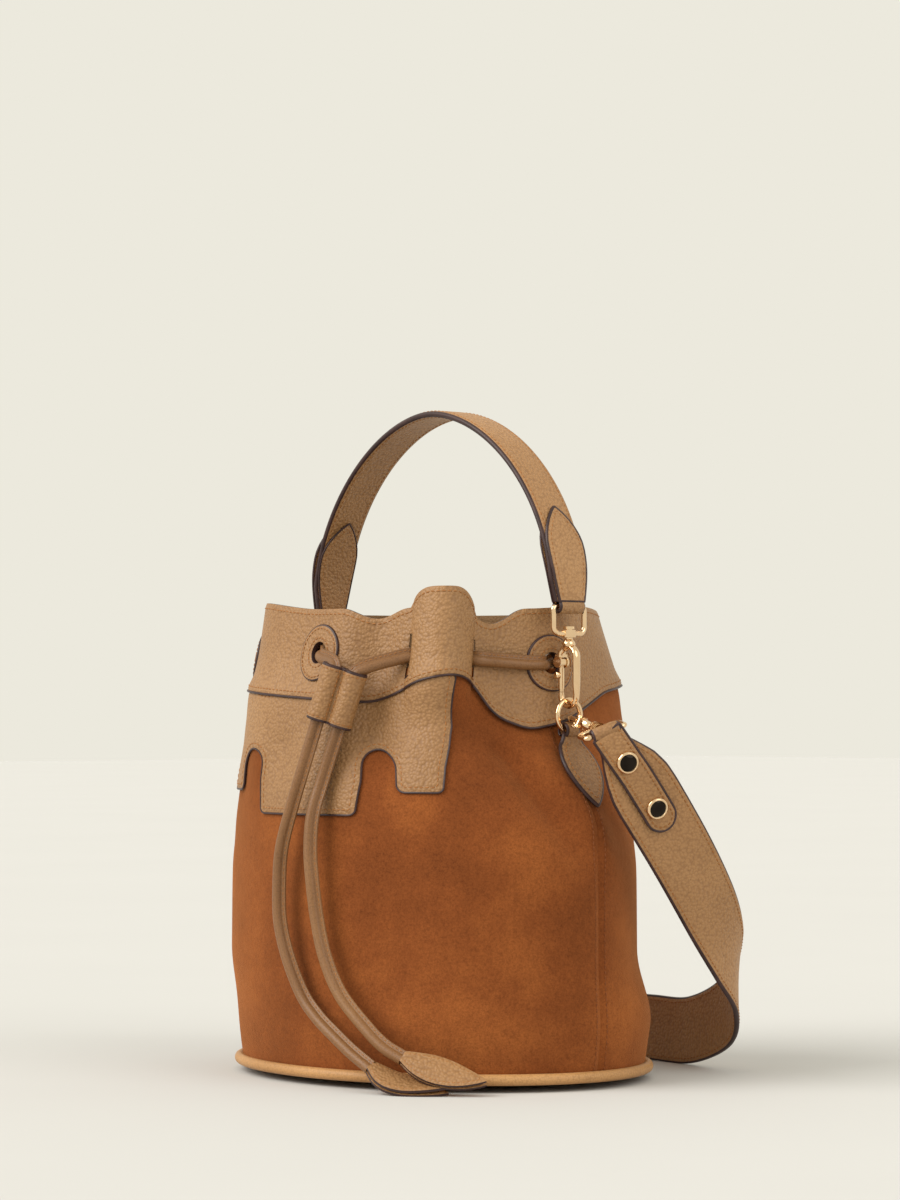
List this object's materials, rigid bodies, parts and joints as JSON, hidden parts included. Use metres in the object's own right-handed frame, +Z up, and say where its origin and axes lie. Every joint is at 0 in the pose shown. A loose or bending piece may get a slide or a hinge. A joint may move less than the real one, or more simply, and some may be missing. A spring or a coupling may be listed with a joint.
{
  "type": "bucket bag",
  "caption": "Drawcord bucket bag of suede and pebbled leather with a hooked-on top handle and a hooked-on shoulder strap.",
  "frame": {"origin": "centre of the base, on the plane that the base feet stand on", "axes": "+Z up, front of the bag towards -Y, side rings on +X and -X"},
  "size_m": [0.3318, 0.2715, 0.3876],
  "materials": {
    "suede": "cognac calf suede, short nap",
    "leather": "pebbled tan leather with dark painted edges",
    "cord_leather": "smooth rolled tan leather cord",
    "lining": "plain cotton lining",
    "board": "stiffening board",
    "gold": "polished pale gold plate"
  },
  "bodies": {
    "bag": {"suede_front_panel": "suede", "suede_back_panel": "suede", "lining": "lining", "base_panel": "leather", "base_board": "board", "base_piping": "leather", "base_feet": "leather", "collar": "leather", "front_yoke": "leather", "eyelet_rings": "leather", "chape_right": "leather", "chape_left": "leather", "drawcord": "cord_leather", "drawcord_end_left": "cord_leather", "drawcord_end_right": "cord_leather", "cord_tip_left": "leather", "cord_tip_right": "leather"},
    "slider": {"cord_slider": "leather"},
    "ring_right": {"ring_right": "gold"},
    "ring_left": {"ring_left": "gold"},
    "handle": {"handle_strap": "leather", "handle_leaf_right": "leather", "handle_leaf_left": "leather", "handle_loop_right": "gold", "handle_loop_left": "gold"},
    "strap": {"shoulder_strap": "leather", "strap_tongue_right": "leather", "strap_tongue_left": "leather", "strap_snaps": "gold", "strap_loop_right": "gold", "strap_loop_left": "gold"},
    "handle_hook_right": {"handle_hook_right": "gold"},
    "handle_gate_right": {"handle_gate_right": "gold"},
    "handle_hook_left": {"handle_hook_left": "gold"},
    "handle_gate_left": {"handle_gate_left": "gold"},
    "strap_hook_right": {"strap_hook_right": "gold"},
    "strap_gate_right": {"strap_gate_right": "gold"},
    "strap_hook_left": {"strap_hook_left": "gold"},
    "strap_gate_left": {"strap_gate_left": "gold"}
  },
  "joints": [
    {"name": "handle_swing", "type": "hinge", "parent": "bag", "child": "handle", "pos_m": [0.105, 0.003, 0.209], "axis": [1, 0, 0], "range_deg": [-8, 62]},
    {"name": "strap_swing", "type": "hinge", "parent": "bag", "child": "strap", "pos_m": [0.105, 0.003, 0.209], "axis": [1, 0, 0], "range_deg": [0, 60]},
    {"name": "ring_spin_right", "type": "hinge", "parent": "bag", "child": "ring_right", "pos_m": [0.105, 0.003, 0.209], "axis": [1, 0, 0], "continuous": true},
    {"name": "handle_hook_swivel_right", "type": "hinge", "parent": "handle", "child": "handle_hook_right", "pos_m": [0.105, 0.003, 0.251], "axis": [0, 0, 1], "range_deg": [-25, 25]},
    {"name": "handle_gate_hinge_right", "type": "hinge", "parent": "handle_hook_right", "child": "handle_gate_right", "pos_m": [0.0988, 0.003, 0.2395], "axis": [0, 1, 0], "range_deg": [-20, 0], "stiffness_Nm_per_rad": 0.02, "springref_deg": 17.19},
    {"name": "strap_hook_swivel_right", "type": "hinge", "parent": "strap", "child": "strap_hook_right", "pos_m": [0.13403, -0.00418, 0.2019], "axis": [0.8797, -0.4649, -0.1], "range_deg": [-20, 2]},
    {"name": "strap_gate_hinge_right", "type": "hinge", "parent": "strap_hook_right", "child": "strap_gate_right", "pos_m": [0.12146, -0.004, 0.20545], "axis": [0.2636, 0.3019, 0.9162], "range_deg": [-20, 0], "stiffness_Nm_per_rad": 0.02, "springref_deg": 17.19},
    {"name": "ring_spin_left", "type": "hinge", "parent": "bag", "child": "ring_left", "pos_m": [-0.105, 0.003, 0.209], "axis": [1, 0, 0], "continuous": true},
    {"name": "handle_hook_swivel_left", "type": "hinge", "parent": "handle", "child": "handle_hook_left", "pos_m": [-0.105, 0.003, 0.251], "axis": [0, 0, -1], "range_deg": [-25, 25]},
    {"name": "handle_gate_hinge_left", "type": "hinge", "parent": "handle_hook_left", "child": "handle_gate_left", "pos_m": [-0.0988, 0.003, 0.2395], "axis": [0, -1, 0], "range_deg": [-20, 0], "stiffness_Nm_per_rad": 0.02, "springref_deg": 17.19},
    {"name": "strap_hook_swivel_left", "type": "hinge", "parent": "strap", "child": "strap_hook_left", "pos_m": [-0.13403, -0.00418, 0.2019], "axis": [0.8797, 0.4649, 0.1], "range_deg": [-20, 2]},
    {"name": "strap_gate_hinge_left", "type": "hinge", "parent": "strap_hook_left", "child": "strap_gate_left", "pos_m": [-0.12146, -0.004, 0.20545], "axis": [0.2636, -0.3019, -0.9162], "range_deg": [-20, 0], "stiffness_Nm_per_rad": 0.02, "springref_deg": 17.19},
    {"name": "slider_slide", "type": "slide", "parent": "bag", "child": "slider", "axis": [-0.2676, -0.1545, -0.9511], "range_m": [0, 0.022]}
  ]
}
